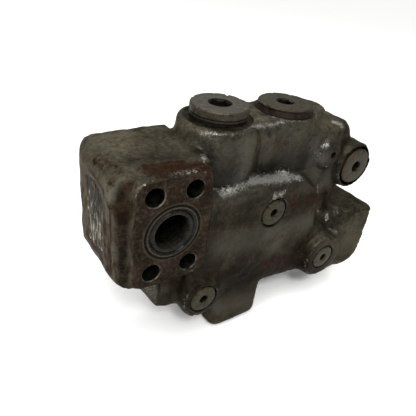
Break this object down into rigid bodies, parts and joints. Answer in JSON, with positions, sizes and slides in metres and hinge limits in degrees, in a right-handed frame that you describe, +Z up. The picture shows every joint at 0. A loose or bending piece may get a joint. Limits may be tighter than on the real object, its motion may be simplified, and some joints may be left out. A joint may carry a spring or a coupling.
{
  "type": "hose rupture valve",
  "caption": "Cast hydraulic hose rupture valve: bolted flange block, plugged upright bores, a relief valve and plugged galleries around a sliding poppet, spool, pilot piston and relief cone.",
  "frame": {"origin": "centre of the hose port on the machined flange face", "axes": "-Y out of the hose port, +Y into the body towards the cylinder, +Z up along the plugged bores, +X from the flange block towards the relief valve"},
  "size_m": [0.2472, 0.077, 0.1855],
  "materials": {
    "oxidised_cast_iron": "rough, oxidised, worn bright on ledges",
    "plug_steel": "dull, lightly stained",
    "ground_steel": "ground",
    "spring_steel": "shot-peened",
    "seal_rubber": "matte",
    "rivet_brass": "tarnished",
    "plate_metal": "worn, printed side rubbed bare"
  },
  "bodies": {
    "housing": {"valve_body": "oxidised_cast_iron", "hose_port_sleeve": "ground_steel", "name_plate": "plate_metal", "name_plate_rivets": "rivet_brass", "main_plug": "plug_steel", "main_plug_washer": "plug_steel", "main_plug_seal": "seal_rubber", "main_seat": "ground_steel", "main_spring": "spring_steel", "spool_plug": "plug_steel", "spool_plug_seal": "seal_rubber", "spool_outer_spring": "spring_steel", "spool_inner_spring": "spring_steel", "pilot_nozzle": "rivet_brass", "relief_plug": "plug_steel", "relief_plug_seal": "seal_rubber", "relief_shim": "ground_steel", "relief_spring_disc": "ground_steel", "relief_spring": "spring_steel", "relief_seat": "ground_steel", "middle_gallery_plug": "plug_steel", "middle_plug_seal": "seal_rubber", "lower_left_gallery_plug": "plug_steel", "lower_left_plug_seal": "seal_rubber", "lower_right_gallery_plug": "plug_steel", "lower_right_plug_seal": "seal_rubber"},
    "poppet": {"main_poppet": "ground_steel", "poppet_nozzle": "rivet_brass"},
    "spool": {"metering_spool": "ground_steel", "spool_spring_cup": "plug_steel"},
    "pilot": {"pilot_piston": "ground_steel", "pilot_piston_ring": "seal_rubber"},
    "relief": {"relief_cone": "ground_steel"}
  },
  "joints": [
    {"name": "main_lift", "type": "slide", "parent": "housing", "child": "poppet", "axis": [0, 0, 1], "range_m": [0, 0.008], "stiffness_N_per_m": 16300, "springref_m": -0.002, "deforming": ["main_spring"]},
    {"name": "spool_stroke", "type": "slide", "parent": "housing", "child": "spool", "axis": [0, 0, 1], "range_m": [0, 0.006], "stiffness_N_per_m": 17400, "springref_m": -0.003, "deforming": ["spool_outer_spring", "spool_inner_spring"]},
    {"name": "pilot_stroke", "type": "slide", "parent": "housing", "child": "pilot", "axis": [0, 0, 1], "range_m": [0, 0.006]},
    {"name": "relief_lift", "type": "slide", "parent": "housing", "child": "relief", "axis": [0, -1, 0], "range_m": [0, 0.0025], "stiffness_N_per_m": 38500, "springref_m": -0.001, "deforming": ["relief_spring"]}
  ],
  "couplings": [
    {"joint": "pilot_stroke", "follows": "spool_stroke", "ratio": 1}
  ]
}
